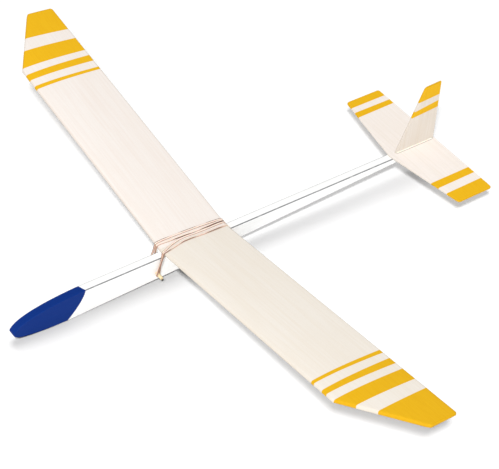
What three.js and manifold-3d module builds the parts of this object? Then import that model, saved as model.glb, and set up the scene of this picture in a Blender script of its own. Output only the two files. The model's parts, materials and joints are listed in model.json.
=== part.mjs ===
// Balsa hand glider: a board fuselage, a two-panel wing with dihedral that two rubber bands hold
// on a wedge seat, and a glued tail. Millimetres, +Z up, nose towards -Y, port wing towards +X.
// Stations are distances behind the wing's root leading edge; heights are above the fuselage's top.
import * as THREE from 'three';
import { mergeVertices } from 'three/addons/utils/BufferGeometryUtils.js';
import Module from 'manifold-3d';

const wasm = await Module();
wasm.setup();

// ---- driving dimensions ----
const stockWidth = 8;            // the fuselage board
const noseStation = -148.2;
const tailStation = 313;
const keelDepth = 27.5;          // deepest point under the fuselage's top edge
const edgeChamfer = 0.5;
const glueGap = 0.3;             // between pieces that touch

const chord = 70;
const panelLength = 314;         // along the panel, from the centre joint to the tip
const rakeStart = 247;           // where the leading edge starts to slant back
const tipSetback = 42.3;
const tipCornerRadius = 3.5;
const rakeCornerRadius = 1.5;
const trimAllowance = 20;        // how far a panel blank passes the middle plane before it is cut there
const dihedral = THREE.MathUtils.degToRad(8.4);
const incidence = THREE.MathUtils.degToRad(1.3);
const wingThickness = 4;
const leadingThickness = 3.2;
const trailingThickness = 1.3;
const crestStation = 22;
const seatHeight = 2.8;          // wedge seat under the leading edge

const stabLeading = 258;
const stabTrailing = 312.8;
const stabTipSetback = 14.5;
const stabHalfSpan = 85.5;
const finLeading = 265;
const finTrailing = 311.6;
const finTopLeading = 291;
const finTopTrailing = 310;
const finTop = 71;
const tailThickness = 2;
const finFrontDrop = 0.8;         // the front top corner sits lower than the rear one
const tailCornerRadius = 3;
const finRearRadius = 0.8;

const pegRadius = 1.5;
const pegLength = 25;
const frontPeg = { station: -5.5, height: -16 };
const rearPeg = { station: 76, height: -10.5 };
const pegSides = 24;

const ballastHeight = -17.4;
const ballastRadius = 2.4;
const ballastLength = 40;
const plugLength = 9;
const ballastHoleDepth = 51;

const bandRadius = 0.8;
const innerStrand = 5.2;         // where a band's strands hang beside the fuselage, across X
const outerStrand = 7.1;
const bandSides = 8;
const bandSteps = 110;

// ---- helpers ----

// A geometry as a solid that can be joined and cut.
function solid(geometry) {
  const bare = geometry.clone();
  bare.deleteAttribute('normal');
  bare.deleteAttribute('uv');
  const merged = mergeVertices(bare, 1e-4);
  const mesh = new wasm.Mesh({
    numProp: 3,
    vertProperties: new Float32Array(merged.attributes.position.array),
    triVerts: new Uint32Array(merged.index.array),
  });
  return new wasm.Manifold(mesh);
}

function geometryOf(manifold) {
  const mesh = manifold.getMesh();
  const geometry = new THREE.BufferGeometry();
  geometry.setAttribute('position', new THREE.BufferAttribute(mesh.vertProperties, 3));
  geometry.setIndex(new THREE.BufferAttribute(mesh.triVerts, 1));
  geometry.computeVertexNormals();
  return geometry;
}

function shapeThrough(points) {
  return new THREE.Shape(points.map(([a, b]) => new THREE.Vector2(a, b)));
}

// A side outline (station, height) given a width across X, centred on the middle plane.
function board(shape, width, chamfer = 0, curveSegments = 12) {
  const geometry = new THREE.ExtrudeGeometry(shape, {
    depth: width - 2 * chamfer,
    curveSegments,
    bevelEnabled: chamfer > 0,
    bevelThickness: chamfer,
    bevelSize: chamfer,
    bevelOffset: -chamfer,
    bevelSegments: 1,
  });
  geometry.translate(0, 0, chamfer - width / 2);
  const toSideView = new THREE.Matrix4().set(0, 0, 1, 0, 1, 0, 0, 0, 0, 1, 0, 0, 0, 0, 0, 1);
  geometry.applyMatrix4(toSideView);
  return geometry;
}

// A plan outline (across, station) given a thickness upwards.
function sheet(shape, thickness, curveSegments = 8) {
  return new THREE.ExtrudeGeometry(shape, { depth: thickness, bevelEnabled: false, curveSegments });
}

// A round bar along X or Y, centred on the given point.
function bar(radius, length, axis, centre, sides = pegSides) {
  const geometry = new THREE.CylinderGeometry(radius, radius, length, sides);
  if (axis === 'x') geometry.rotateZ(-Math.PI / 2);
  geometry.translate(...centre);
  return geometry;
}

function mirrored(geometry) {
  const copy = geometry.clone();
  copy.scale(-1, 1, 1);
  const index = copy.index.array;
  for (let i = 0; i < index.length; i += 3) {
    [index[i + 1], index[i + 2]] = [index[i + 2], index[i + 1]];
  }
  copy.computeVertexNormals();
  return copy;
}

// A closed outline whose listed corners are rounded by the radius beside them.
function roundedOutline(corners) {
  const shape = new THREE.Shape();
  corners.forEach(([x, y, radius = 0], i) => {
    const here = new THREE.Vector2(x, y);
    const before = new THREE.Vector2(...corners[(i + corners.length - 1) % corners.length]);
    const after = new THREE.Vector2(...corners[(i + 1) % corners.length]);
    const start = here.clone().add(before.sub(here).setLength(radius));
    const end = here.clone().add(after.sub(here).setLength(radius));
    if (i === 0) shape.moveTo(start.x, start.y);
    else shape.lineTo(start.x, start.y);
    if (radius > 0) shape.quadraticCurveTo(x, y, end.x, end.y);
  });
  shape.closePath();
  return shape;
}

// ---- fuselage ----

// Side outline: level top, round nose, a keel that rises to a slim tail.
function fuselageOutline() {
  const shape = new THREE.Shape();
  shape.moveTo(tailStation, 0);
  shape.lineTo(-84, 0);
  shape.splineThru([
    [-100, -1.1], [-116, -3.1], [-130, -6.1], [-140.6, -10.2], [-146.3, -14.4],
    [noseStation, -17.8], [-145.7, -21.4], [-139, -23.8], [-126, -25.9], [-110, -27.2],
    [-96, -keelDepth],
  ].map(([station, height]) => new THREE.Vector2(station, height)));
  shape.lineTo(10, -23.3);
  shape.splineThru([
    [30, -22.1], [48, -20.1], [66, -18], [86, -16.4],
  ].map(([station, height]) => new THREE.Vector2(station, height)));
  shape.lineTo(tailStation, -3.6);
  shape.closePath();
  return shape;
}

function fuselageBlank(chamfer) {
  return solid(board(fuselageOutline(), stockWidth, chamfer, 4));
}

function fuselage() {
  const pegHoleRadius = pegRadius + glueGap;
  const throughWidth = stockWidth + 4;
  const holes = [frontPeg, rearPeg].map((peg) =>
    solid(bar(pegHoleRadius, throughWidth, 'x', [0, peg.station, peg.height])));
  const holeLength = ballastHoleDepth + 6;
  const holeMiddle = noseStation + ballastHoleDepth - holeLength / 2;
  const ballastHole = solid(bar(ballastRadius + glueGap, holeLength, 'y', [0, holeMiddle, ballastHeight]));
  let body = fuselageBlank(edgeChamfer);
  for (const hole of [...holes, ballastHole]) body = body.subtract(hole);
  return geometryOf(body);
}

// ---- nose weight: a steel pin in a hole drilled back from the nose, closed by a dowel plug ----

function ballastPin() {
  const middle = noseStation + ballastHoleDepth - glueGap - ballastLength / 2;
  return bar(ballastRadius, ballastLength, 'y', [0, middle, ballastHeight]);
}

function nosePlug() {
  const backEnd = noseStation + ballastHoleDepth - 2 * glueGap - ballastLength;
  const blankLength = plugLength + 4;
  const middle = backEnd - blankLength / 2;
  const dowel = solid(bar(ballastRadius, blankLength, 'y', [0, middle, ballastHeight]));
  return geometryOf(dowel.intersect(fuselageBlank(edgeChamfer)));
}

// ---- wing ----

// Height of the upper surface over the flat underside: a crest, a blunt front and a thin back.
function upperSurface(station) {
  const aft = Math.max(0, (station - crestStation) / (chord - crestStation));
  const fore = Math.max(0, (crestStation - station) / crestStation);
  const aftDrop = (wingThickness - trailingThickness) * aft ** 1.6;
  const foreDrop = (wingThickness - leadingThickness) * fore ** 2.6;
  return wingThickness - aftDrop - foreDrop;
}

function wingSection() {
  const noseLength = 1.4;
  const upperSteps = 20;
  const shape = new THREE.Shape();
  shape.moveTo(noseLength, 0);
  shape.lineTo(chord, 0);
  for (let i = 0; i <= upperSteps; i++) {
    const station = chord + (noseLength - chord) * (i / upperSteps);
    shape.lineTo(station, upperSurface(station));
  }
  const bulge = -0.45;
  shape.bezierCurveTo(bulge, 2.7, bulge, 0.4, noseLength, 0);
  return shape;
}

// The panel's plan. Its straight front edge stands clear of the section's own rounded nose.
function wingPlan() {
  const clearFront = -1;
  return roundedOutline([
    [-trimAllowance, clearFront],
    [rakeStart, clearFront],
    [rakeStart, 0, rakeCornerRadius],
    [panelLength, tipSetback, tipCornerRadius],
    [panelLength, chord, tipCornerRadius],
    [-trimAllowance, chord],
  ]);
}

// Moves a piece from the wing's own frame, bottom of the root leading edge at its origin, to its seat.
function ontoSeat(geometry) {
  geometry.rotateX(-incidence);
  geometry.translate(0, 0, seatHeight + 2 * glueGap);
  return geometry;
}

function wingPanel() {
  const strip = board(wingSection(), panelLength + trimAllowance, 0, 8);
  strip.translate((panelLength - trimAllowance) / 2, 0, 0);
  const plan = sheet(wingPlan(), 2 * wingThickness);
  plan.translate(0, 0, -wingThickness / 2);
  const panel = geometryOf(solid(strip).intersect(solid(plan)));
  panel.rotateY(-dihedral);
  const portHalf = new THREE.BoxGeometry(2 * panelLength, 2 * chord, panelLength);
  portHalf.translate(panelLength + glueGap / 2, chord / 2, 0);
  return geometryOf(solid(panel).intersect(solid(portHalf)));
}

// ---- wing seat: a wedge whose top is hollowed to the wing's V ----

function wingSeat() {
  const drop = chord * Math.tan(incidence);
  const blankTop = seatHeight + 2;
  const blank = solid(board(shapeThrough([
    [0, glueGap], [chord, glueGap], [chord, blankTop - drop], [0, blankTop],
  ]), stockWidth));
  const reach = 1.5 * stockWidth;
  const overrun = 10;
  const rise = reach * Math.tan(dihedral);
  const veeShape = shapeThrough([[0, 0], [reach, rise], [reach, reach], [-reach, reach], [-reach, rise]]);
  const vee = new THREE.ExtrudeGeometry(veeShape, { depth: chord + 2 * overrun, bevelEnabled: false });
  vee.translate(0, 0, -chord - overrun);
  vee.rotateX(Math.PI / 2);
  vee.rotateX(-incidence);
  vee.translate(0, 0, seatHeight + glueGap);
  return geometryOf(blank.subtract(solid(vee)));
}

// ---- tail ----

function stabilizer() {
  const plan = sheet(roundedOutline([
    [0, stabLeading],
    [stabHalfSpan, stabLeading + stabTipSetback, tailCornerRadius],
    [stabHalfSpan, stabTrailing, tailCornerRadius],
    [-stabHalfSpan, stabTrailing, tailCornerRadius],
    [-stabHalfSpan, stabLeading + stabTipSetback, tailCornerRadius],
  ]), tailThickness);
  plan.translate(0, 0, glueGap);
  return plan;
}

function fin() {
  const foot = tailThickness + 2 * glueGap;
  return board(roundedOutline([
    [finLeading, foot],
    [finTrailing, foot],
    [finTopTrailing, finTop, finRearRadius],
    [finTopLeading, finTop - finFrontDrop, tailCornerRadius],
  ]), tailThickness, 0, 6);
}

// ---- pegs and rubber bands ----

function peg(place) {
  return bar(pegRadius, pegLength, 'x', [0, place.station, place.height]);
}

// Height of the wing's underside at its leading edge, out from the middle plane.
function undersideAt(across) {
  return seatHeight + 2 * glueGap + Math.abs(across) * Math.tan(dihedral);
}

// A point placed up from the plane of the wing's underside.
function besideWing(across, station, up) {
  return [across, station, undersideAt(across) - station * Math.tan(incidence) + up];
}

// A point of a band's middle line where it lies on the wing's upper surface.
function overWing(across, station) {
  const clearance = glueGap + bandRadius + 0.15;
  return besideWing(across, station, upperSurface(station) + clearance);
}

// Points of a band's turn round a peg: degrees up from straight aft, across X as it goes.
function roundPeg(peg, fromX, toX, fromDegrees, toDegrees) {
  const wrap = pegRadius + glueGap + bandRadius + 0.1;
  const steps = Math.round(Math.abs(toDegrees - fromDegrees) / 30);
  return Array.from({ length: steps + 1 }, (_, i) => {
    const part = i / steps;
    const angle = THREE.MathUtils.degToRad(fromDegrees + (toDegrees - fromDegrees) * part);
    const across = fromX + (toX - fromX) * part;
    return [across, peg.station + wrap * Math.cos(angle), peg.height + wrap * Math.sin(angle)];
  });
}

// One band: forward over the wing on its inner strand and back on its outer one, round both pegs.
// side is 1 for port and -1 for starboard; across gives each strand's place on the wing.
function bandRoute(side, across) {
  const inner = side * innerStrand;
  const outer = side * outerStrand;
  const middle = (inner + outer) / 2;
  const { lerp } = THREE.MathUtils;
  const turnIn = lerp(across.innerMiddle, across.innerFront, 0.2);
  return [
    ...roundPeg(rearPeg, middle, inner, -105, -180),
    [inner, rearPeg.station - 3, -4],
    [inner, chord + 3.3, -0.8],
    [lerp(across.innerRear, inner, 0.94), chord + 2.9, 0.9],
    [lerp(across.innerRear, inner, 0.78), chord + 2.4, 1.45],
    [lerp(across.innerRear, inner, 0.22), chord + 2, 1.6],
    besideWing(across.innerRear, chord + 1.05, 2.1),
    overWing(across.innerRear, chord - 2.5),
    overWing(across.innerMiddle, chord * 0.62),
    overWing(across.innerMiddle, chord * 0.32),
    overWing(turnIn, chord * 0.14),
    overWing(across.innerFront, 2.6),
    besideWing(across.innerFront, -1, 3.7),
    besideWing(across.innerFront, -1.7, 0.6),
    [inner, -2, 0.6],
    [inner, -2.5, -8],
    ...roundPeg(frontPeg, inner, outer, 0, -180),
    [outer, -5.6, -8],
    [outer, -3, 0.8],
    besideWing(across.outerFront, -1.8, 0.8),
    besideWing(across.outerFront, -1, 3.7),
    overWing(across.outerFront, 2.6),
    overWing(across.outerMiddle, chord * 0.34),
    overWing(across.outerMiddle, chord * 0.66),
    overWing(across.outerRear, chord - 2.5),
    besideWing(across.outerRear, chord + 1.05, 2.2),
    [lerp(across.outerRear, outer, 0.12), chord + 2.6, 3.3],
    [lerp(across.outerRear, outer, 0.5), chord + 4.2, 2.4],
    [lerp(across.outerRear, outer, 0.85), chord + 5, 0.4],
    [outer, chord + 5.2, -2.5],
    ...roundPeg(rearPeg, outer, middle, 0, -70),
  ].map(([x, y, z]) => new THREE.Vector3(x, y, z));
}

function band(side, across) {
  const section = new THREE.Shape();
  section.absarc(0, 0, bandRadius, 0, 2 * Math.PI);
  const route = new THREE.CatmullRomCurve3(bandRoute(side, across));
  return new THREE.ExtrudeGeometry(section, {
    steps: bandSteps,
    extrudePath: route,
    curveSegments: bandSides / 2,
  });
}

// ---- the glider ----

const finishes = {
  whitePaint: new THREE.MeshStandardMaterial({ color: '#fbfbfa', roughness: 0.55, metalness: 0 }),
  balsa: new THREE.MeshStandardMaterial({ color: '#f7ece0', roughness: 0.8, metalness: 0 }),
  beech: new THREE.MeshStandardMaterial({ color: '#ecdcb4', roughness: 0.6, metalness: 0 }),
  rubber: new THREE.MeshStandardMaterial({ color: '#d9a892', roughness: 0.5, metalness: 0 }),
  steel: new THREE.MeshStandardMaterial({ color: '#8c8f92', roughness: 0.35, metalness: 1 }),
};

const glider = new THREE.Group();
glider.position.set(0, -(noseStation + tailStation) / 2, keelDepth);

function place(name, geometry, finish) {
  const mesh = new THREE.Mesh(geometry, finishes[finish]);
  mesh.name = name;
  glider.add(mesh);
}

const portPanel = wingPanel();
place('fuselage', fuselage(), 'whitePaint');
place('wing_seat', wingSeat(), 'whitePaint');
place('wing_panel_port', ontoSeat(portPanel.clone()), 'balsa');
place('wing_panel_starboard', ontoSeat(mirrored(portPanel)), 'balsa');
place('stabilizer', stabilizer(), 'balsa');
place('fin', fin(), 'balsa');
place('front_peg', peg(frontPeg), 'beech');
place('rear_peg', peg(rearPeg), 'beech');
place('ballast_pin', ballastPin(), 'steel');
place('nose_plug', nosePlug(), 'beech');

const portStrands = {
  innerFront: 5.1, innerMiddle: -1.5, innerRear: -2.9, outerFront: 7.1, outerMiddle: 3, outerRear: 1.8,
};
const starboardStrands = {
  innerFront: -4.9, innerMiddle: -3.5, innerRear: -4.9, outerFront: -7.4, outerMiddle: -7, outerRear: -6.8,
};
place('rubber_band_port', band(1, portStrands), 'rubber');
place('rubber_band_starboard', band(-1, starboardStrands), 'rubber');

export default glider;
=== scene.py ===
"""Balsa hand glider built round its CAD frame: painted board, sheet balsa wing and tail, rubber bands."""
import json
import math

import bmesh
import bpy
from mathutils import Matrix, Quaternion, Vector, noise


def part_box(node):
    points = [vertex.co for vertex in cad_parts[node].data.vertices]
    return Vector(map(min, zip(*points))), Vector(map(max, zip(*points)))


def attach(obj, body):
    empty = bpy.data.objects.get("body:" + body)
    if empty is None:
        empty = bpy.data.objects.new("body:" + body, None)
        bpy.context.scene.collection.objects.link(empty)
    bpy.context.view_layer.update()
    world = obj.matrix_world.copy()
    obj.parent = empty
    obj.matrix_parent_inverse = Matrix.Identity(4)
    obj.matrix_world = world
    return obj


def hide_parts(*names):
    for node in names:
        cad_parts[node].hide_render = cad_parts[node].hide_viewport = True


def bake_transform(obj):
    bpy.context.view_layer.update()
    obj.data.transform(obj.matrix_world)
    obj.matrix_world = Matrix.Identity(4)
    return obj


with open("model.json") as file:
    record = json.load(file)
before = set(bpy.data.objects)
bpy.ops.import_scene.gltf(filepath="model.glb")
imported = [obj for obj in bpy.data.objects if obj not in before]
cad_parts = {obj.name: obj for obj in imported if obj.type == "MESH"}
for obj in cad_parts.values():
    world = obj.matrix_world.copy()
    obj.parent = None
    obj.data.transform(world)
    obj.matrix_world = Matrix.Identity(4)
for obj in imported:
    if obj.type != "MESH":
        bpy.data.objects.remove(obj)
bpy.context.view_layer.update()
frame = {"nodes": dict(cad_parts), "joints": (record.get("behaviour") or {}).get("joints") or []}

# ---- sizes in millimetres; the corners of the frame's boxes are in metres ----

MM = 0.001
PORT, STARBOARD = 1, -1

BOARD_LOW, BOARD_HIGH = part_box("fuselage")
SEAT_LOW, SEAT_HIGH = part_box("wing_seat")
STAB_LOW, STAB_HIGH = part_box("stabilizer")
FIN_LOW, FIN_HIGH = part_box("fin")
PEG_LOW, PEG_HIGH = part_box("front_peg")

ROOT_Y = SEAT_LOW[1]
DECK_Z = BOARD_HIGH[2]
CHORD = (SEAT_HIGH[1] - SEAT_LOW[1]) / MM
BOARD_WIDTH = (BOARD_HIGH[0] - BOARD_LOW[0]) / MM
NOSE = (BOARD_LOW[1] - ROOT_Y) / MM
TAIL = (BOARD_HIGH[1] - ROOT_Y) / MM
KEEL = (DECK_Z - BOARD_LOW[2]) / MM
PEG_HALF = (PEG_HIGH[0] - PEG_LOW[0]) / 2 / MM

TRIM_AXIS = Vector(frame["joints"][0]["axis"])
INCIDENCE = math.atan2(-TRIM_AXIS.z, TRIM_AXIS.y)
DIHEDRAL = math.radians(8.4)
GLUE_GAP = 0.3
SEAT_HEIGHT = 2.8
WING_LIFT = SEAT_HEIGHT + 2 * GLUE_GAP
PANEL_LENGTH = 314
RAKE_START = 247
TIP_SETBACK = 42.3
TIP_CORNER = 3.5
WING_THICKNESS = 4
LEADING_THICKNESS = 3.2
TRAILING_THICKNESS = 1.3
CREST_STATION = 22
TAIL_SHEET = 2
STAB_SETBACK = 14.5
FIN_SLANT = 26
RIM_WIDTH = 1.8
BLUE_END = -79.4
HOLE_CLEARANCE = 0.1
PLUG_CLEARANCE = 0.08
PAST_TIP = 330  # a yellow stripe that ends here runs over the tip
SEAM = 0.02


def spot(across, station, height):
    """A place in the row frame, from millimetres to port, behind the wing's root and over the deck."""
    return Vector((across * MM, ROOT_Y + station * MM, DECK_Z + height * MM))


# ---- mesh helpers ----

def finish_mesh(name, mesh, body, material, replaces=(), sharp=40):
    """Puts a mesh in the scene as a named piece that rides on a body."""
    mesh.validate()
    mesh.polygons.foreach_set("use_smooth", [True] * len(mesh.polygons))
    mesh.set_sharp_from_angle(angle=math.radians(sharp))
    mesh.materials.clear()
    mesh.materials.append(material)
    piece = bpy.data.objects.new(name, mesh)
    bpy.context.scene.collection.objects.link(piece)
    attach(piece, body)
    if replaces:
        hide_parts(*replaces)
    return piece


def weighted_normals(piece):
    """Keeps flat faces flat next to their rounded edges."""
    modifier = piece.modifiers.new("flat_faces", "WEIGHTED_NORMAL")
    modifier.keep_sharp = True
    modifier.weight = 60


def inset(outline, distance):
    """A closed outline, listed counter-clockwise, moved inwards by a distance with mitred corners."""
    moved = []
    count = len(outline)
    for i, here in enumerate(outline):
        before = (here - outline[i - 1]).normalized()
        after = (outline[(i + 1) % count] - here).normalized()
        normal_before = Vector((-before.y, before.x))
        normal_after = Vector((-after.y, after.x))
        mitre = normal_before + normal_after
        mitre.normalize()
        moved.append(here + mitre * (distance / max(0.5, mitre.dot(normal_before))))
    return moved


def counter_clockwise(outline):
    """The same outline, listed counter-clockwise."""
    area = sum(a.x * b.y - b.x * a.y for a, b in zip(outline, outline[1:] + outline[:1]))
    return outline if area > 0 else outline[::-1]


def rounded_board(outline, thickness, radius, place):
    """A flat sheet with softened edges. place(u, v, w) turns outline and thickness into the row frame.
    The mesh keeps u, v and w in millimetres as the grain attribute."""
    steps = 4
    outline = counter_clockwise([Vector(p) for p in outline])
    rings = []
    depths = []
    for side in (-1, 1):
        turns = range(steps + 1) if side < 0 else range(steps, -1, -1)
        for turn in turns:
            angle = math.pi / 2 * turn / steps
            depth = radius * (1 - math.sin(angle))
            level = side * (thickness / 2 - radius * (1 - math.cos(angle)))
            rings.append([(p.x, p.y, level) for p in inset(outline, depth)])
            depths.append(depth / radius * RIM_WIDTH)
    count = len(outline)
    points = [p for ring in rings for p in ring]
    faces = []
    for r in range(len(rings) - 1):
        for i in range(count):
            j = (i + 1) % count
            a, b = r * count, (r + 1) * count
            faces.append((a + i, a + j, b + j, b + i))
    faces.append(tuple(range(count))[::-1])
    faces.append(tuple(range((len(rings) - 1) * count, len(rings) * count)))
    mesh = mesh_from(points, faces, place)
    set_rim(mesh, [depth for depth in depths for _ in range(count)])
    return mesh


def mesh_from(points, faces, place):
    """A closed mesh whose points place() turns into the row frame, with its faces pointing out."""
    mesh = bpy.data.meshes.new("shape")
    mesh.from_pydata([place(*p) for p in points], [], faces)
    set_grain(mesh, points)
    tidy = bmesh.new()
    tidy.from_mesh(mesh)
    bmesh.ops.recalc_face_normals(tidy, faces=tidy.faces)
    tidy.to_mesh(mesh)
    tidy.free()
    return mesh


def set_grain(mesh, points):
    """Keeps each vertex's own millimetres, along, across and through its sheet, for the wood's grain."""
    grain = mesh.attributes.get("grain") or mesh.attributes.new("grain", "FLOAT_VECTOR", "POINT")
    grain.data.foreach_set("vector", [c for p in points for c in p])


def set_rim(mesh, distances):
    """Keeps how far each vertex is from its sheet's edge: 0 at the rim, RIM_WIDTH or more on the flat."""
    rim = mesh.attributes.new("rim", "FLOAT", "POINT")
    rim.data.foreach_set("value", distances)


def curve_through(points, steps):
    """A smooth open curve through points, as a list with steps pieces between neighbours."""
    points = [Vector(p) for p in points]
    ends = [2 * points[0] - points[1], *points, 2 * points[-1] - points[-2]]
    smooth = []
    for i in range(1, len(ends) - 2):
        for step in range(steps):
            smooth.append(catmull(*ends[i - 1:i + 3], step / steps))
    return smooth + [points[-1]]


def catmull(p0, p1, p2, p3, t):
    """A centripetal Catmull-Rom curve between p1 and p2."""
    k1 = math.sqrt((p1 - p0).length)
    k2 = k1 + math.sqrt((p2 - p1).length)
    k3 = k2 + math.sqrt((p3 - p2).length)
    k = k1 + (k2 - k1) * t
    a1 = p0 * (k1 - k) / k1 + p1 * k / k1
    a2 = p1 * (k2 - k) / (k2 - k1) + p2 * (k - k1) / (k2 - k1)
    a3 = p2 * (k3 - k) / (k3 - k2) + p3 * (k - k2) / (k3 - k2)
    b1 = a1 * (k2 - k) / k2 + a2 * k / k2
    b2 = a2 * (k3 - k) / (k3 - k1) + a3 * (k - k1) / (k3 - k1)
    return b1 * (k2 - k) / (k2 - k1) + b2 * (k - k1) / (k2 - k1)


def rounded_corners(corners, steps=6):
    """An outline from (x, y, radius) corners, each rounded by its radius."""
    outline = []
    count = len(corners)
    for i, (x, y, radius) in enumerate(corners):
        here = Vector((x, y))
        if radius == 0:
            outline.append(here)
            continue
        before = (Vector(corners[i - 1][:2]) - here).normalized() * radius
        after = (Vector(corners[(i + 1) % count][:2]) - here).normalized() * radius
        for step in range(steps + 1):
            t = step / steps
            outline.append(here + before * (1 - t) ** 2 + after * t ** 2)
    return outline


# ---- materials ----

def srgb(red, green, blue):
    """A linear colour from an ordinary 0 to 255 one."""
    def linear(value):
        part = value / 255
        return part / 12.92 if part <= 0.04045 else ((part + 0.055) / 1.055) ** 2.4
    return (linear(red), linear(green), linear(blue), 1)


class Nodes:
    """A small builder for one material's node tree."""

    def __init__(self, name):
        self.material = bpy.data.materials.new(name)
        self.material.use_nodes = True
        self.tree = self.material.node_tree
        self.shader = self.tree.nodes["Principled BSDF"]

    def add(self, kind, **inputs):
        node = self.tree.nodes.new(kind)
        for key, value in inputs.items():
            self.feed(node.inputs[key.replace("_", " ")], value)
        return node

    def feed(self, socket, value):
        if isinstance(value, bpy.types.NodeSocket):
            self.tree.links.new(value, socket)
        else:
            socket.default_value = value

    def math(self, operation, a, b=0.0):
        node = self.tree.nodes.new("ShaderNodeMath")
        node.operation = operation
        self.feed(node.inputs[0], a)
        self.feed(node.inputs[1], b)
        return node.outputs[0]

    def smooth(self, value, low, high):
        """0 below low, 1 above high, smooth between; low may be the larger."""
        node = self.add("ShaderNodeMapRange", Value=value)
        node.interpolation_type = "SMOOTHSTEP"
        node.inputs["From Min"].default_value = min(low, high)
        node.inputs["From Max"].default_value = max(low, high)
        node.inputs["To Min"].default_value = 0.0 if low < high else 1.0
        node.inputs["To Max"].default_value = 1.0 if low < high else 0.0
        return node.outputs["Result"]

    def remap(self, value, low, high):
        """A 0 to 1 value spread from low to high."""
        node = self.add("ShaderNodeMapRange", Value=value)
        node.inputs["To Min"].default_value = low
        node.inputs["To Max"].default_value = high
        return node.outputs["Result"]

    def grain(self):
        """The piece's own millimetres: along, across and through its sheet."""
        node = self.tree.nodes.new("ShaderNodeAttribute")
        node.attribute_name = "grain"
        return node.outputs["Vector"]

    def parts(self, vector):
        return self.add("ShaderNodeSeparateXYZ", Vector=vector).outputs

    def scaled(self, vector, scale, shift=(0, 0, 0)):
        node = self.add("ShaderNodeMapping", Vector=vector)
        node.inputs["Scale"].default_value = scale
        node.inputs["Location"].default_value = shift
        return node.outputs["Vector"]

    def noise(self, vector, scale, detail):
        inputs = {"Vector": vector, "Scale": scale, "Detail": detail, "Roughness": 0.55}
        return self.add("ShaderNodeTexNoise", **inputs).outputs["Fac"]

    def mix(self, factor, a, b, mode="MIX"):
        node = self.tree.nodes.new("ShaderNodeMix")
        node.data_type = "RGBA"
        node.blend_type = mode
        self.feed(node.inputs["Factor"], factor)
        self.feed(node.inputs["A"], a)
        self.feed(node.inputs["B"], b)
        return node.outputs["Result"]

    def bump(self, height, strength, distance):
        node = self.add("ShaderNodeBump", Height=height, Strength=strength, Distance=distance)
        return node.outputs["Normal"]

    def surface(self, colour, roughness, normal=None):
        self.feed(self.shader.inputs["Base Color"], colour)
        self.feed(self.shader.inputs["Roughness"], roughness)
        if normal is not None:
            self.feed(self.shader.inputs["Normal"], normal)
        return self.material


PORT_BALSA = (srgb(238, 231, 221), srgb(235, 226, 213), srgb(214, 198, 178))
STARBOARD_BALSA = (srgb(237, 230, 224), srgb(234, 224, 216), srgb(215, 199, 184))
TAIL_BALSA = (srgb(241, 233, 227), srgb(236, 227, 218), srgb(214, 198, 182))
# The fin's balsa is a darker copy of the tail's: painted shade on both its faces.
FIN_BALSA_SHADED = (srgb(228, 220, 211), srgb(222, 212, 199), srgb(200, 184, 164))
RIM_SHADE_TINT = srgb(238, 236, 233)
EDGE_SHADE = srgb(232, 230, 228)
YELLOW = srgb(232, 180, 22)
YELLOW_DEEP = srgb(228, 174, 18)
WHITE_PAINT = srgb(248, 248, 247)
BLUE_PAINT = srgb(12, 49, 124)
BLUE_BRUSHED = srgb(11, 44, 118)
CORNER_SHADE_LINE = srgb(112, 114, 116)
BEECH = srgb(236, 220, 178)
BEECH_FLECK = srgb(196, 166, 118)
RUBBER = srgb(250, 231, 217)
RUBBER_SHADE = srgb(243, 218, 201)
RUBBER_SHADED_SIDE = srgb(204, 164, 140)
RUBBER_SHADE_LINE = srgb(96, 62, 48)
GLUE = srgb(246, 241, 232)
GLUE_FLANK_SHADE = srgb(168, 158, 148)
STEEL = srgb(150, 152, 155)


def balsa_surface(nodes, vector, colours, seed):
    """Bare sheet balsa: streaks and short pores along the first axis. Gives its colour and height."""
    light, streak, pore = colours
    streaks = nodes.noise(nodes.scaled(vector, (0.012, 0.55, 0.55), (seed, seed, 0)), 1.0, 4.0)
    patches = nodes.noise(nodes.scaled(vector, (0.018, 0.05, 0.05), (0, seed, seed)), 1.0, 2.0)
    pores = nodes.noise(nodes.scaled(vector, (0.35, 6.0, 6.0), (seed, 0, seed)), 1.0, 2.0)
    fibres = nodes.noise(nodes.scaled(vector, (0.1, 9.0, 9.0)), 1.0, 2.0)
    colour = nodes.mix(nodes.smooth(streaks, 0.35, 0.75), light, streak)
    colour = nodes.mix(nodes.math("MULTIPLY", nodes.smooth(patches, 0.4, 0.7), 0.5), colour, streak)
    pore_mask = nodes.smooth(pores, 0.62, 0.72)
    colour = nodes.mix(nodes.math("MULTIPLY", pore_mask, 0.3), colour, pore)
    height = nodes.math("SUBTRACT", nodes.remap(fibres, 0.0, 0.6), nodes.math("MULTIPLY", pore_mask, 0.6))
    return colour, height


def painted_bands(nodes, along, back, depth, vector, edges):
    """1 inside the bands along a sheet. Each pair of edges opens and closes a band; an edge is (at the
    sheet's front, at its back), because the masking tape went on by eye, and it creeps into the grain."""
    softness = 0.12
    creep = nodes.noise(nodes.scaled(vector, (0.25, 1.6, 1.6)), 1.0, 3.0)
    place = nodes.math("ADD", along, nodes.remap(creep, -0.2, 0.2))
    mask = 0.0
    for start, end in zip(edges[::2], edges[1::2]):
        inside = 1.0
        for (front, rear), direction in ((start, 1), (end, -1)):
            slope = (rear - front) / (depth[1] - depth[0])
            line = nodes.math("MULTIPLY", nodes.math("SUBTRACT", back, depth[0]), slope)
            past = nodes.math("SUBTRACT", nodes.math("SUBTRACT", place, front), line)
            past = nodes.smooth(past, -softness * direction, softness * direction)
            inside = nodes.math("MULTIPLY", inside, past)
        mask = nodes.math("MAXIMUM", mask, inside)
    return mask


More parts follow.
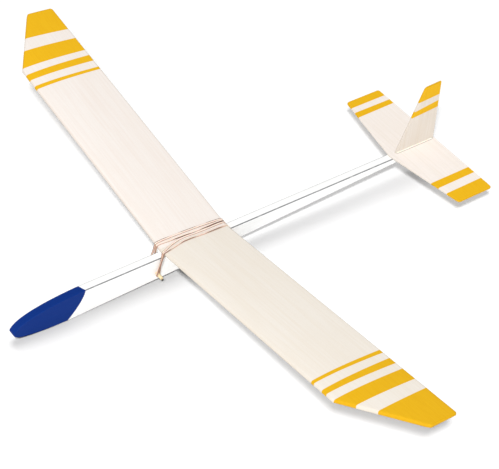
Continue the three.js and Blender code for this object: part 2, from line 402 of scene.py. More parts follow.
def balsa_material(name, edges, depth, wood_colours, seed, low_rim=None):
    """Sheet balsa with yellow bands along the grain attribute's first value. depth is where the sheet
    starts and ends across its grain. Its rim gets a little painted shade; low_rim is the height
    under which the rim gets more painted shade."""
    nodes = Nodes(name)
    vector = nodes.grain()
    parts = nodes.parts(vector)
    wood, height = balsa_surface(nodes, vector, wood_colours, seed)
    mask = painted_bands(nodes, parts["X"], parts["Y"], depth, vector, edges)
    brush = nodes.noise(nodes.scaled(vector, (0.06, 0.9, 0.9), (seed, 3, 0)), 1.0, 3.0)
    paint = nodes.mix(nodes.smooth(brush, 0.35, 0.75), YELLOW, YELLOW_DEEP)
    colour = nodes.mix(mask, wood, paint)
    rim = nodes.tree.nodes.new("ShaderNodeAttribute")
    rim.attribute_name = "rim"
    # Painted shade: every sheet's rim is darkened a little, and under low_rim a little more.
    rim_shade_mask = nodes.smooth(rim.outputs["Fac"], RIM_WIDTH, 0.2)
    colour = nodes.mix(rim_shade_mask, colour, nodes.mix(1.0, colour, RIM_SHADE_TINT, "MULTIPLY"))
    if low_rim is not None:
        under = nodes.math("MULTIPLY", rim_shade_mask, nodes.smooth(parts["Z"], low_rim, low_rim / 4))
        colour = nodes.mix(under, colour, nodes.mix(1.0, colour, EDGE_SHADE, "MULTIPLY"))
    roughness = nodes.mix(mask, (0.8, 0.8, 0.8, 1), (0.62, 0.62, 0.62, 1))
    filled = nodes.math("SUBTRACT", 1.0, nodes.math("MULTIPLY", mask, 0.6))
    relief = nodes.math("MULTIPLY", height, filled)
    relief = nodes.math("ADD", relief, nodes.math("MULTIPLY", mask, 0.5))
    nodes.shader.inputs["Specular IOR Level"].default_value = 0.12
    return nodes.surface(colour, roughness, nodes.bump(relief, 0.3, 0.0001))


def fuselage_material():
    """White paint on a sanded board, a blue nose with a hand-masked edge, a painted shade line along the
    upper corners.
    """
    nodes = Nodes("painted_board")
    corner_start, corner_full = 3.2, 3.45
    corner_foot, corner_top = -1.0, -0.7
    vector = nodes.grain()
    parts = nodes.parts(vector)
    station, height, across = parts["X"], parts["Y"], parts["Z"]
    telegraph = nodes.noise(nodes.scaled(vector, (0.02, 1.2, 1.2)), 1.0, 3.0)
    brush = nodes.noise(nodes.scaled(vector, (0.05, 2.5, 2.5), (9, 0, 0)), 1.0, 3.0)
    white = nodes.mix(nodes.smooth(telegraph, 0.4, 0.75), WHITE_PAINT, srgb(243, 243, 241))
    depth = nodes.math("DIVIDE", nodes.math("ABSOLUTE", height), KEEL)
    sweep = nodes.math("MULTIPLY", nodes.math("POWER", depth, 1.52), 18.5)
    lean = nodes.math("MULTIPLY", across, 0.4)
    edge = nodes.math("ADD", nodes.math("SUBTRACT", lean, sweep), BLUE_END)
    wobble = nodes.remap(nodes.noise(vector, 0.25, 2.0), -0.25, 0.25)
    ahead = nodes.math("SUBTRACT", nodes.math("ADD", edge, wobble), station)
    blue_mask = nodes.smooth(ahead, -0.12, 0.12)
    blue = nodes.mix(nodes.smooth(brush, 0.35, 0.7), BLUE_PAINT, BLUE_BRUSHED)
    # Painted shade: a broken grey line along the board's upper corners, where top and sides meet.
    beside = nodes.smooth(nodes.math("ABSOLUTE", across), corner_start, corner_full)
    corner = nodes.math("MULTIPLY", beside, nodes.smooth(height, corner_foot, corner_top))
    corner = nodes.math("MULTIPLY", corner, nodes.smooth(station, TAIL - 0.3, TAIL - 0.7))
    corner_line_breaks = nodes.smooth(nodes.noise(nodes.scaled(vector, (0.15, 1.0, 1.0)), 1.0, 2.0), 0.2, 0.5)
    white = nodes.mix(nodes.math("MULTIPLY", corner, nodes.remap(corner_line_breaks, 0.6, 0.95)), white, CORNER_SHADE_LINE)
    colour = nodes.mix(blue_mask, white, blue)
    roughness = nodes.mix(blue_mask, (0.55, 0.55, 0.55, 1), (0.5, 0.5, 0.5, 1))
    nodes.shader.inputs["Specular IOR Level"].default_value = 0.06
    relief = nodes.math("ADD", nodes.math("MULTIPLY", brush, 0.4), nodes.math("MULTIPLY", telegraph, 0.6))
    relief = nodes.math("ADD", relief, nodes.math("MULTIPLY", blue_mask, 0.5))
    return nodes.surface(colour, roughness, nodes.bump(relief, 0.25, 0.00015))


def plain_paint_material(name, first, second, roughness):
    """A painted part too small for marks of its own: soft brush variation."""
    nodes = Nodes(name)
    place = nodes.tree.nodes.new("ShaderNodeTexCoord").outputs["Object"]
    brush = nodes.noise(nodes.scaled(place, (400, 60, 400)), 1.0, 3.0)
    colour = nodes.mix(nodes.smooth(brush, 0.35, 0.7), first, second)
    return nodes.surface(colour, nodes.remap(brush, roughness - 0.05, roughness + 0.05),
                         nodes.bump(brush, 0.2, 0.0001))


def dowel_material():
    """Beech dowel: fine grain and dark flecks along it, darker end grain."""
    nodes = Nodes("beech_dowel")
    vector = nodes.grain()
    parts = nodes.parts(vector)
    streaks = nodes.noise(nodes.scaled(vector, (0.08, 2.2, 2.2)), 1.0, 3.0)
    flecks = nodes.noise(nodes.scaled(vector, (0.7, 6.0, 6.0)), 1.0, 2.0)
    colour = nodes.mix(nodes.smooth(streaks, 0.35, 0.75), BEECH, srgb(224, 202, 156))
    colour = nodes.mix(nodes.math("MULTIPLY", nodes.smooth(flecks, 0.62, 0.7), 0.6), colour, BEECH_FLECK)
    end = nodes.smooth(nodes.math("ABSOLUTE", parts["X"]), PEG_HALF - 0.3, PEG_HALF - 0.05)
    colour = nodes.mix(nodes.math("MULTIPLY", end, 0.4), colour, BEECH_FLECK)
    return nodes.surface(colour, 0.6, nodes.bump(flecks, 0.3, 0.0001))


def rubber_material():
    """Natural rubber band: pale and mottled, with painted shade that turns the faces facing away from up
    brown.
    The grain attribute's second value is positive on the strand's side away from its partner, where a
    painted shade line comes and goes along it; a fainter one runs along the other side."""
    nodes = Nodes("natural_rubber")
    vector = nodes.grain()
    parts = nodes.parts(vector)
    mottle = nodes.noise(nodes.scaled(vector, (0.3, 1.5, 1.5)), 1.0, 3.0)
    dust = nodes.noise(nodes.scaled(vector, (2.0, 5.0, 5.0)), 1.0, 2.0)
    colour = nodes.mix(nodes.smooth(mottle, 0.35, 0.75), RUBBER, RUBBER_SHADE)
    # Painted shade: sides that turn from up go brown, and dark shade lines run along the strand's edges.
    up = nodes.parts(nodes.tree.nodes.new("ShaderNodeNewGeometry").outputs["Normal"])["Z"]
    top = nodes.smooth(up, 0.1, 0.75)
    colour = nodes.mix(top, RUBBER_SHADED_SIDE, colour)
    thin_line, wide_line = nodes.smooth(parts["Y"], 0.15, 0.5), nodes.smooth(parts["Y"], 0.0, 0.5)
    outer_shade_line = nodes.mix(top, wide_line, thin_line)
    cut_side = nodes.math("MULTIPLY", nodes.smooth(parts["Y"], 0.84, 0.89), 0.6)
    outer_shade_line = nodes.math("MULTIPLY", outer_shade_line, nodes.math("SUBTRACT", 1.0, cut_side))
    along = nodes.scaled(vector, (0.035, 0, 0), (21.5, 0, 0))
    shade_line_breaks = nodes.smooth(nodes.noise(along, 1.0, 1.0), 0.4, 0.55)
    outer_shade_line = nodes.math("MULTIPLY", outer_shade_line, nodes.remap(shade_line_breaks, 0.2, 1.0))
    colour = nodes.mix(outer_shade_line, colour, RUBBER_SHADE_LINE)
    inner_shade_line = nodes.smooth(parts["Y"], -0.74, -0.86)
    colour = nodes.mix(nodes.math("MULTIPLY", inner_shade_line, 0.3), colour, RUBBER_SHADE_LINE)
    colour = nodes.mix(nodes.math("MULTIPLY", nodes.smooth(dust, 0.6, 0.75), 0.3), colour, RUBBER)
    nodes.shader.inputs["Subsurface Weight"].default_value = 0.08
    nodes.shader.inputs["Subsurface Scale"].default_value = 0.001
    return nodes.surface(colour, nodes.remap(mottle, 0.5, 0.68), nodes.bump(dust, 0.2, 0.00008))


def glue_material():
    """Dried wood glue: pale, a little see-through and glossier than the wood."""
    nodes = Nodes("dried_glue")
    place = nodes.tree.nodes.new("ShaderNodeTexCoord").outputs["Object"]
    ripple = nodes.noise(nodes.scaled(place, (900, 300, 900)), 1.0, 2.0)
    up = nodes.parts(nodes.tree.nodes.new("ShaderNodeNewGeometry").outputs["Normal"])["Z"]
    colour = nodes.mix(ripple, GLUE, srgb(240, 232, 214))
    # Painted shade: the bead's flanks, where they turn from up, go greyer.
    colour = nodes.mix(nodes.smooth(up, 0.2, 0.5), GLUE_FLANK_SHADE, colour)
    nodes.shader.inputs["Subsurface Weight"].default_value = 0.15
    nodes.shader.inputs["Subsurface Scale"].default_value = 0.001
    return nodes.surface(colour, nodes.remap(ripple, 0.3, 0.45), nodes.bump(ripple, 0.3, 0.0001))


def steel_material():
    """The nose weight: bar steel with turning marks and a cut end."""
    nodes = Nodes("cut_steel")
    place = nodes.tree.nodes.new("ShaderNodeTexCoord").outputs["Object"]
    marks = nodes.noise(nodes.scaled(place, (200, 6000, 200)), 1.0, 2.0)
    nodes.shader.inputs["Metallic"].default_value = 1.0
    colour = nodes.mix(marks, STEEL, srgb(120, 122, 126))
    return nodes.surface(colour, nodes.remap(marks, 0.3, 0.5), nodes.bump(marks, 0.2, 0.00005))


# ---- fuselage ----

def fuselage_outline():
    """Side outline as (station, height): level top, round nose, keel rising to a slim tail."""
    nose = curve_through([
        (-84, 0), (-100, -1.1), (-116, -3.1), (-130, -6.1), (-140.6, -10.2), (-146.3, -14.4),
        (NOSE, -17.8), (-145.7, -21.4), (-139, -23.8), (-126, -25.9), (-110, -27.2), (-96, -KEEL),
    ], 10)
    belly = curve_through([(10, -23.3), (30, -22.1), (48, -20.1), (66, -18), (86, -16.4)], 6)
    return [Vector((TAIL, 0)), *nose, *belly, Vector((TAIL, -3.6))]


def board_blank():
    """The fuselage board before it is drilled."""
    def place(station, height, across):
        return spot(across, station, height)
    return rounded_board(fuselage_outline(), BOARD_WIDTH, 0.6, place)


def round_bar(centre, axis, radius, length):
    """A plain round bar along X or Y, used as a drill."""
    mesh = bpy.data.meshes.new("bar")
    shape = bmesh.new()
    bmesh.ops.create_cone(shape, cap_ends=True, segments=48, radius1=radius, radius2=radius, depth=length)
    turn = Matrix.Rotation(math.pi / 2, 4, "Y" if axis == "X" else "X")
    bmesh.ops.transform(shape, matrix=Matrix.Translation(centre) @ turn, verts=shape.verts)
    shape.to_mesh(mesh)
    shape.free()
    return mesh


def combined(mesh, tool, operation):
    """Cuts one closed mesh by another and keeps the row frame's millimetres in the grain attribute."""
    base, other = (bpy.data.objects.new("blank", data) for data in (mesh, tool))
    for thing in (base, other):
        bpy.context.scene.collection.objects.link(thing)
    modifier = base.modifiers.new("cut", "BOOLEAN")
    modifier.object = other
    modifier.operation = operation
    modifier.solver = "EXACT"
    bpy.context.view_layer.update()
    evaluated = base.evaluated_get(bpy.context.evaluated_depsgraph_get())
    result = bpy.data.meshes.new_from_object(evaluated)
    for thing in (base, other):
        bpy.data.objects.remove(thing)
    set_grain(result, [
        ((v.co.y - ROOT_Y) / MM, (v.co.z - DECK_Z) / MM, v.co.x / MM) for v in result.vertices
    ])
    return result


def make_fuselage():
    """The board with its peg holes and the nose hole, and the plug that closes the nose hole."""
    mesh = board_blank()
    for peg in ("front_peg", "rear_peg"):
        low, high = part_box(peg)
        radius = (high[2] - low[2]) / 2 + HOLE_CLEARANCE * MM
        drill = round_bar((low + high) / 2, "X", radius, 2 * BOARD_WIDTH * MM)
        mesh = combined(mesh, drill, "DIFFERENCE")
    low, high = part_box("ballast_pin")
    middle = Vector((0, BOARD_LOW[1], (low[2] + high[2]) / 2))
    pin_radius = (high[2] - low[2]) / 2
    radius = pin_radius + HOLE_CLEARANCE * MM
    depth = high[1] - BOARD_LOW[1] + GLUE_GAP * MM
    mesh = combined(mesh, round_bar(middle, "Y", radius, 2 * depth), "DIFFERENCE")
    paint = fuselage_material()
    piece = finish_mesh("fuselage_board", mesh, "airframe", paint, ["fuselage"])
    weighted_normals(piece)
    make_plug(middle, pin_radius + PLUG_CLEARANCE * MM, low[1] - BOARD_LOW[1] - GLUE_GAP * MM, paint)
    return piece


def make_plug(middle, radius, length, paint):
    """The dowel that closes the nose hole, sanded flush with the nose and painted with it."""
    plug = combined(board_blank(), round_bar(middle, "Y", radius, 2 * length), "INTERSECT")
    finish_mesh("nose_plug_dowel", plug, "airframe", paint, ["nose_plug"])


# ---- wing ----

def upper_surface(station):
    """Height of the wing's upper side over its flat underside."""
    aft = max(0, (station - CREST_STATION) / (CHORD - CREST_STATION))
    fore = max(0, (CREST_STATION - station) / CREST_STATION)
    aft_drop = (WING_THICKNESS - TRAILING_THICKNESS) * aft ** 1.6
    return WING_THICKNESS - aft_drop - (WING_THICKNESS - LEADING_THICKNESS) * fore ** 2.6


def edge_drop(distance, radius):
    """How far a rounded edge has fallen at a distance from the rim."""
    if distance >= radius:
        return 0.0
    return radius - math.sqrt(max(0.0, radius ** 2 - (radius - distance) ** 2))


def leading_edge(span):
    """Station of the panel's front edge, with the outer corner rounded."""
    slope = TIP_SETBACK / (PANEL_LENGTH - RAKE_START)
    raked = max(0.0, (span - RAKE_START) * slope)
    into_corner = max(0.0, span - (PANEL_LENGTH - TIP_CORNER))
    return raked + 0.25 * into_corner ** 2 / TIP_CORNER


def trailing_edge(span):
    """Station of the panel's back edge, with the outer corner rounded."""
    into_corner = max(0.0, span - (PANEL_LENGTH - TIP_CORNER))
    return CHORD - edge_drop(TIP_CORNER - into_corner, TIP_CORNER) * 0.9


def spread(low, high, count, ease=0.0):
    """Evenly spaced values, drawn towards both ends as ease goes from 0 to 1."""
    values = []
    for i in range(count + 1):
        t = i / count
        eased = (1 - math.cos(math.pi * t)) / 2
        values.append(low + (high - low) * (t + (eased - t) * ease))
    return values


def rim_distances(span, station):
    """How far a place on the panel is from its front edge, its back edge and its tip."""
    rake = math.atan2(TIP_SETBACK, PANEL_LENGTH - RAKE_START) if span > RAKE_START else 0.0
    front = (station - leading_edge(span)) * math.cos(rake)
    return front, trailing_edge(span) - station, PANEL_LENGTH - span


def panel_heights(span, station):
    """(under, over) heights of the panel's two skins, rounded at its rims."""
    front, back, outer = rim_distances(span, station)
    over = upper_surface(station) - max(edge_drop(front, 1.5), edge_drop(outer, 0.9))
    over -= edge_drop(back, 0.4)
    under = max(edge_drop(front, 0.8), edge_drop(outer, 0.5), edge_drop(back, 0.2))
    return under, over


def wing_mesh(side):
    """One sheet panel as two skins over a spanwise and chordwise grid, closed round the rim."""
    spans = [0.0, *spread(2, RAKE_START, 60), *spread(RAKE_START, PANEL_LENGTH, 44, 0.8)[1:]]
    shares = spread(0, 1, 56, 0.9)
    points = []
    rows = []
    for skin in (0, 1):
        grid = []
        for span in spans:
            column = []
            front, back = leading_edge(span), trailing_edge(span)
            for share in shares:
                station = front + (back - front) * share
                height = panel_heights(max(span, 1), station)[skin]
                lean = (SEAM + height * math.sin(DIHEDRAL)) / math.cos(DIHEDRAL)
                column.append(len(points))
                points.append((max(span, lean), station, height))
            grid.append(column)
        rows.append(grid)
    faces = []
    last, end = len(spans) - 1, len(shares) - 1
    for grid in rows:
        for i in range(last):
            for j in range(end):
                faces.append((grid[i][j], grid[i + 1][j], grid[i + 1][j + 1], grid[i][j + 1]))
    rim = [(i, 0) for i in range(last)] + [(last, j) for j in range(end)]
    rim += [(i, end) for i in range(last, 0, -1)] + [(0, j) for j in range(end, 0, -1)]
    for (i, j), (k, m) in zip(rim, rim[1:] + rim[:1]):
        faces.append((rows[0][i][j], rows[0][k][m], rows[1][k][m], rows[1][i][j]))
    mesh = mesh_from(points, faces, lambda *p: on_wing(side, *p))
    set_rim(mesh, [min(rim_distances(span, station)) for span, station, height in points])
    return mesh


def on_wing(side, span, station, height):
    """A place on a panel: out along its underside, back from its front edge, up from its underside."""
    across = side * (span * math.cos(DIHEDRAL) - height * math.sin(DIHEDRAL))
    rise = span * math.sin(DIHEDRAL) + height * math.cos(DIHEDRAL)
    back = station * math.cos(INCIDENCE) + rise * math.sin(INCIDENCE)
    up = rise * math.cos(INCIDENCE) - station * math.sin(INCIDENCE)
    return spot(across, back, up + WING_LIFT)


# Where each yellow stripe starts and ends: along the sheet at its front edge, and at its back edge.
PORT_EDGES = [(219.5, 218.8), (223, 223.2), (233.1, 231.4), (238.9, 239.4),
              (247.8, 247.6), (263.3, 263.1), (279.2, 276.5), (PAST_TIP, PAST_TIP)]
STARBOARD_EDGES = [(218.4, 219.4), (223, 222.9), (231.5, 232.1), (239.3, 240.6),
                   (248.2, 248.2), (268.7, 266.8), (284.2, 280.6), (PAST_TIP, PAST_TIP)]
STAB_EDGES = [(-PAST_TIP, -PAST_TIP), (-75.3, -75.2), (-68.1, -67.7), (-60.2, -61.1),
              (52, 52.1), (61.1, 60.8), (70.8, 70.3), (PAST_TIP, PAST_TIP)]
FIN_EDGES = [(38.8, 41.1), (45, 49.3), (54.3, 56.3), (PAST_TIP, PAST_TIP)]


def make_wing():
    for side, word, edges, colours, seed in (
        (PORT, "port", PORT_EDGES, PORT_BALSA, 1.7),
        (STARBOARD, "starboard", STARBOARD_EDGES, STARBOARD_BALSA, 6.4),
    ):
        material = balsa_material(f"balsa_wing_{word}", edges, (0, CHORD), colours, seed, low_rim=1.5)
        replaced = [f"wing_panel_{word}"]
        finish_mesh(f"wing_sheet_{word}", wing_mesh(side), "wing", material, replaced, 50)


# ---- tail ----

def make_stabilizer():
    span = STAB_HIGH[0] / MM
    front = (STAB_LOW[1] - ROOT_Y) / MM
    back = (STAB_HIGH[1] - ROOT_Y) / MM
    middle = (STAB_LOW[2] + STAB_HIGH[2]) / 2
    tip_front = front + STAB_SETBACK
    outline = rounded_corners([
        (0, front, 0), (span, tip_front, 3), (span, back, 3), (-span, back, 3), (-span, tip_front, 3),
    ])

    def place(across, station, level):
        return Vector((across * MM, ROOT_Y + station * MM, middle + level * MM))

    material = balsa_material("balsa_stabilizer", STAB_EDGES, (front, back), TAIL_BALSA, 3.1)
    mesh = rounded_board(outline, TAIL_SHEET, 0.7, place)
    piece = finish_mesh("stabilizer_sheet", mesh, "airframe", material, ["stabilizer"])
    weighted_normals(piece)


def make_fin():
    front = (FIN_LOW[1] - ROOT_Y) / MM
    back = (FIN_HIGH[1] - ROOT_Y) / MM
    foot = (FIN_LOW[2] - DECK_Z) / MM
    top = (FIN_HIGH[2] - DECK_Z) / MM
    outline = rounded_corners([
        (foot, front, 0), (foot, back, 0), (top, back - 1.6, 0.8), (top - 0.8, front + FIN_SLANT, 3),
    ])

    def place(height, station, level):
        return spot(level, station, height)
    stripe_front = front + 12
    material = balsa_material("balsa_fin", FIN_EDGES, (stripe_front, back), FIN_BALSA_SHADED, 8.8)
    mesh = rounded_board(outline, TAIL_SHEET, 0.7, place)
    piece = finish_mesh("fin_sheet", mesh, "airframe", material, ["fin"])
    weighted_normals(piece)


# ---- pegs ----

def make_peg(name):
    """A dowel with eased ends, in place of its plain CAD bar."""
    low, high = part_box(name)
    centre = (low + high) / 2
    half = (high[0] - low[0]) / 2 / MM
    radius = (high[2] - low[2]) / 2 / MM
    ease, turn = 0.4, 0.12
    profile = [(-half, 0), (-half, radius - ease), (-half + turn, radius - turn), (-half + ease, radius)]
    profile += [(x, radius) for x in spread(-half + 1.4, half - 1.4, 8)]
    profile += [(-x, r) for x, r in profile[3::-1]]
    sides = 40
    points = []
    for x, r in profile:
        for i in range(sides):
            angle = 2 * math.pi * i / sides
            points.append((x, r * math.cos(angle), r * math.sin(angle)))
    faces = []
    for ring in range(len(profile) - 1):
        for i in range(sides):
            j = (i + 1) % sides
            a, b = ring * sides, (ring + 1) * sides
            faces.append((a + i, a + j, b + j, b + i))
    mesh = mesh_from(points, faces, lambda x, y, z: Vector(centre) + Vector((x, y, z)) * MM)
    weld = bmesh.new()
    weld.from_mesh(mesh)
    bmesh.ops.remove_doubles(weld, verts=weld.verts, dist=1e-7)
    weld.to_mesh(mesh)
    weld.free()
    finish_mesh(f"{name}_dowel", mesh, "airframe", DOWEL, [name])


# ---- rubber bands ----

BAND_WIDTH = 1.8
BAND_DEPTH = 0.9
BAND_CORNER = 0.22
BAND_LIFT = BAND_DEPTH / 2 + 0.05
INNER_STRAND = 5.2
OUTER_STRAND = 7.1


def beside_wing(across, station, up):
    """A point placed up from the plane of the wing's underside."""
    underside = WING_LIFT + abs(across) * math.tan(DIHEDRAL)
    return (across, station, underside - station * math.tan(INCIDENCE) + up)


def over_wing(across, station):
    """A point of a band's middle line where it lies on the wing's upper side."""
    return beside_wing(across, station, upper_surface(station) + BAND_LIFT)


def between(start, end, share):
    """A value some share of the way from start to end."""
    return start + (end - start) * share


def round_peg(peg, from_x, to_x, from_degrees, to_degrees):
    """Points of a band's turn round a peg: degrees up from straight aft, across as it goes."""
    low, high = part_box(peg)
    station = ((low[1] + high[1]) / 2 - ROOT_Y) / MM
    height = ((low[2] + high[2]) / 2 - DECK_Z) / MM
    wrap = (high[2] - low[2]) / 2 / MM + BAND_LIFT
    steps = round(abs(to_degrees - from_degrees) / 30)
    points = []
    for i in range(steps + 1):
        part = i / steps
        angle = math.radians(between(from_degrees, to_degrees, part))
        across = between(from_x, to_x, part)
        points.append((across, station + wrap * math.cos(angle), height + wrap * math.sin(angle)))
    return points


def band_route(side, across):
    """One closed loop: forward over the wing on its inner strand and back on its outer one.
    across gives each strand's place on the wing."""
    inner, outer = side * INNER_STRAND, side * OUTER_STRAND
    middle = (inner + outer) / 2
    turn_in = between(across["inner_middle"], across["inner_front"], 0.45)
    return [
        *round_peg("rear_peg", middle, inner, -90, -180),
        (inner, CHORD + 3, -4),
        (inner, CHORD + 2.2, -0.9),
        (between(across["inner_rear"], inner, 0.92), CHORD + 1.7, 0.5),
        (between(across["inner_rear"], inner, 0.75), CHORD + 1.4, 0.75),
        (between(across["inner_rear"], inner, 0.22), CHORD + 1, 1.1),
        beside_wing(across["inner_rear"], CHORD + 0.5, 0.9),
        over_wing(across["inner_rear"], CHORD - 2.5),
        over_wing(across["inner_middle"], CHORD * 0.62),
        over_wing(across["inner_middle"], CHORD * 0.32),
        over_wing(turn_in, CHORD * 0.14),
        over_wing(between(turn_in, across["inner_front"], 0.85), 2.6),
        beside_wing(across["inner_front"], -0.4, 3.1),
        beside_wing(across["inner_front"], -0.75, 1.2),
        (inner, -1.4, 0.4),
        (inner, -2.7, -8),
        *round_peg("front_peg", inner, outer, 0, -180),
        (outer, -5.2, -8),
        (outer, -2.2, 0.8),
        beside_wing(across["outer_front"], -0.8, 1.2),
        beside_wing(across["outer_front"], -0.4, 3.1),
        over_wing(across["outer_front"], 2.6),
        over_wing(across["outer_middle"], CHORD * 0.34),
        over_wing(across["outer_middle"], CHORD * 0.66),
        over_wing(across["outer_rear"], CHORD - 2.5),
        beside_wing(across["outer_rear"], CHORD + 0.5, 0.9),
        (between(across["outer_rear"], outer, 0.35), CHORD + 0.8, 1.9),
        (between(across["outer_rear"], outer, 0.85), CHORD + 1.5, 0.2),
        (outer, CHORD + 2.4, -2),
        (outer, CHORD + 4, -5),
        *round_peg("rear_peg", outer, middle + side * 0.3, 0, -60),
    ]


def closed_curve(points, steps):
    """A smooth loop through points, steps pieces between neighbours."""
    points = [Vector(p) for p in points]
    count = len(points)
    return [
        catmull(*(points[(i + k) % count] for k in (-1, 0, 1, 2)), step / steps)
        for i in range(count) for step in range(steps)
    ]


def band_section():
    """Outline of the flat band's section, corners rounded, as (width, depth)."""
    wide, deep = BAND_WIDTH / 2, BAND_DEPTH / 2
    corners = [(wide, deep), (-wide, deep), (-wide, -deep), (wide, -deep)]
    return rounded_corners([(*corner, BAND_CORNER) for corner in corners], 3)


def make_band(word, side, across):
    """A flat band along its route, lying level on the wing. Its grain attribute's second value is
    positive on the side that faces away from the loop's other strand."""
    route = closed_curve(band_route(side, across), 7)
    count = len(route)
    front_half = [i for i in range(count) if route[i].y < CHORD / 2]
    under_front_peg = min(front_half, key=lambda i: route[i].z)
    section = band_section()
    points = []
    places = []
    travelled = 0.0
    for i, here in enumerate(route):
        ahead = (route[(i + 1) % count] - route[i - 1]).normalized()
        tilt = math.tan(DIHEDRAL) * max(-1.0, min(1.0, here.x)) if here.z > 4 else 0.0
        width_axis = Vector((1, 0, tilt))
        width_axis = (width_axis - ahead * width_axis.dot(ahead)).normalized()
        depth_axis = ahead.cross(width_axis)
        outwards = side if i > under_front_peg else -side
        ripple = 1 + 0.05 * noise.noise(Vector((travelled * 0.15, side * 7.0, 0)))
        for u, v in section:
            places.append(spot(*(here + width_axis * (u * ripple) + depth_axis * v)))
            points.append((travelled, u * outwards, v))
        travelled += (route[(i + 1) % count] - here).length
    ring = len(section)
    faces = []
    for i in range(count):
        for j in range(ring):
            k = (j + 1) % ring
            a, b = i * ring, ((i + 1) % count) * ring
            faces.append((a + j, a + k, b + k, b + j))
    next_place = iter(places)
    mesh = mesh_from(points, faces, lambda *p: next(next_place))
    mesh.name = f"band_{word}"
    mesh.materials.append(RUBBER_MATERIAL)
    mesh.polygons.foreach_set("use_smooth", [True] * len(mesh.polygons))
    piece = bpy.data.objects.new(f"band_{word}", mesh)
    bpy.context.scene.collection.objects.link(piece)
    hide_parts(f"rubber_band_{word}")
    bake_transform(piece)


PORT_STRANDS = {
    "inner_front": 5.1, "inner_middle": -1.5, "inner_rear": -2.9,
    "outer_front": 7.1, "outer_middle": 3, "outer_rear": 1.8,
}
STARBOARD_STRANDS = {
    "inner_front": -4.9, "inner_middle": -3.5, "inner_rear": -4.9,
    "outer_front": -7.4, "outer_middle": -7, "outer_rear": -6.8,
}


# ---- glue ----

def bead_mesh(path, radius, seed):
    """A squeezed-out bead of glue along a path: a tube whose size wanders and closes at both ends."""
    sides = 10
    points = []
    faces = []
    count = len(path)
    for i, here in enumerate(path):
        ahead = (path[min(i + 1, count - 1)] - path[max(i - 1, 0)]).normalized()
        side_axis = ahead.cross(Vector((0, 0, 1))).normalized()
        up_axis = side_axis.cross(ahead)
        swell = 1 + 0.22 * noise.noise(here * 0.35 + Vector((seed, 0, 0)))
        taper = min(1.0, (min(i, count - 1 - i) + 0.25) / 2)
        for j in range(sides):
            angle = 2 * math.pi * j / sides
            reach = radius * swell * taper
            at = here + side_axis * reach * math.cos(angle) + up_axis * reach * math.sin(angle)
            points.append(tuple(at))
    for i in range(count - 1):
        for j in range(sides):
            k = (j + 1) % sides
            a, b = i * sides, (i + 1) * sides
            faces.append((a + j, a + k, b + k, b + j))
    faces.append(tuple(range(sides))[::-1])
    faces.append(tuple(range((count - 1) * sides, count * sides)))
    return mesh_from(points, faces, spot)


def make_glue():
    """Beads on both sides of the fin's foot and along both edges of the wing seat."""
    fin_front = (FIN_LOW[1] - ROOT_Y) / MM
    fin_back = (FIN_HIGH[1] - ROOT_Y) / MM
    foot = (STAB_HIGH[2] - DECK_Z) / MM
    short = 0.5
    for side, word in ((PORT, "port"), (STARBOARD, "starboard")):
        stations = spread(fin_front + short, fin_back - short, 40)
        bead = bead_mesh([Vector((side * 1.3, s, foot + 0.2)) for s in stations], 1.0, 3.0 * side)
        finish_mesh(f"fin_glue_{word}", bead, "airframe", GLUE_MATERIAL)
        stations = spread(short, CHORD - short, 50)
        bead = bead_mesh([Vector((side * 3.85, s, 0.15)) for s in stations], 0.42, 5.0 * side)
        finish_mesh(f"seat_glue_{word}", bead, "airframe", GLUE_MATERIAL)


# ---- the pieces ----

DOWEL = dowel_material()
RUBBER_MATERIAL = rubber_material()
GLUE_MATERIAL = glue_material()

fuselage_board = make_fuselage()
make_wing()
make_stabilizer()
make_fin()
make_peg("front_peg")
make_peg("rear_peg")
make_band("port", PORT, PORT_STRANDS)
make_band("starboard", STARBOARD, STARBOARD_STRANDS)
make_glue()


def refinish(node, material):
    """Gives a CAD node that keeps its shape a better material."""
    mesh_object = frame["nodes"][node]
    for material_slot in mesh_object.material_slots:
        material_slot.link = "OBJECT"
        material_slot.material = material


refinish("wing_seat", plain_paint_material("seat_paint", WHITE_PAINT, srgb(244, 244, 242), 0.5))
refinish("ballast_pin", steel_material())


# ---- floor, light and camera ----

CAMERA_AZIMUTH = 51.81
CAMERA_ELEVATION = 42.65
CAMERA_ROLL = -4.7
CAMERA_DISTANCE = 1.4652
CAMERA_LENS = 118.29
CAMERA_AIM = spot(19.5, 82.5, 0)


def towards(azimuth, elevation):
    """Unit vector from the object towards a viewer: azimuth 0 stands at -Y, 90 at +X."""
    a, e = math.radians(azimuth), math.radians(elevation)
    return Vector((math.sin(a) * math.cos(e), -math.cos(a) * math.cos(e), math.sin(e)))


def make_camera():
    """A long lens from the front and port side, turned slightly about its own axis."""
    back = towards(CAMERA_AZIMUTH, CAMERA_ELEVATION)
    data = bpy.data.cameras.new("camera")
    data.lens = CAMERA_LENS
    data.sensor_width = 36
    data.clip_start, data.clip_end = 0.05, 20
    camera = bpy.data.objects.new("camera", data)
    camera.location = CAMERA_AIM + back * CAMERA_DISTANCE
    roll = Quaternion((0, 0, 1), -math.radians(CAMERA_ROLL))
    camera.rotation_mode = "QUATERNION"
    camera.rotation_quaternion = (-back).to_track_quat("-Z", "Y") @ roll
    bpy.context.scene.collection.objects.link(camera)
    bpy.context.scene.camera = camera


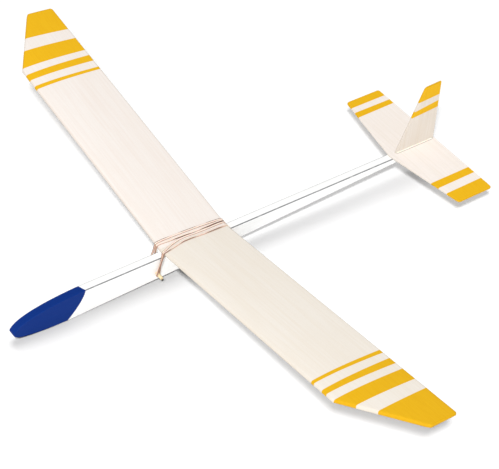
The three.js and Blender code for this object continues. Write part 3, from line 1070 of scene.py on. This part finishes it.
def only(name, *things):
    """A set of objects that a light works on, or that hold it back."""
    group = bpy.data.collections.new(name)
    for thing in things:
        group.objects.link(thing)
    return group


def make_light(name, azimuth, elevation, distance, size, watts):
    """A round soft box that faces the middle of the view. distance and size are in metres."""
    data = bpy.data.lights.new(name, "AREA")
    data.shape = "DISK"
    data.size = size
    data.energy = watts
    light = bpy.data.objects.new(name, data)
    back = towards(azimuth, elevation)
    light.location = CAMERA_AIM + back * distance
    light.rotation_mode = "QUATERNION"
    light.rotation_quaternion = (-back).to_track_quat("-Z", "Y")
    bpy.context.scene.collection.objects.link(light)
    return light


def make_floor():
    """A plain pale floor, just under the keel."""
    mesh = bpy.data.meshes.new("floor")
    half = 6.0
    corners = [(-half, -half, 0), (half, -half, 0), (half, half, 0), (-half, half, 0)]
    mesh.from_pydata(corners, [], [(0, 1, 2, 3)])
    floor = bpy.data.objects.new("floor", mesh)
    floor.location.z = -0.0005
    nodes = Nodes("pale_floor")
    mesh.materials.append(nodes.surface(srgb(115, 115, 115), 0.9))
    nodes.shader.inputs["Specular IOR Level"].default_value = 0.1
    bpy.context.scene.collection.objects.link(floor)
    return floor


def make_world():
    """Even white light from all round, and colours shown as they are."""
    world = bpy.data.worlds.new("studio")
    world.use_nodes = True
    background = world.node_tree.nodes["Background"]
    background.inputs["Color"].default_value = (1, 1, 1, 1)
    background.inputs["Strength"].default_value = 0.52
    bpy.context.scene.world = world
    bpy.context.scene.view_settings.view_transform = "Standard"


floor = make_floor()
make_world()
make_light("key", 42, 48, 6.0, 0.45, 290)

# Two more lights work on the floor alone. The first gives every part a soft shadow close under its
# edges. The second is held back by the board alone, which darkens the floor along the keel.
floor_only = only("backdrop", floor)
make_light("backdrop_key", 49, 50, 3.0, 0.25, 305).light_linking.receiver_collection = floor_only
backdrop_top = make_light("backdrop_top", 235, 60, 5.0, 4.5, 900)
backdrop_top.light_linking.receiver_collection = floor_only
backdrop_top.light_linking.blocker_collection = only("board", fuselage_board)
make_camera()
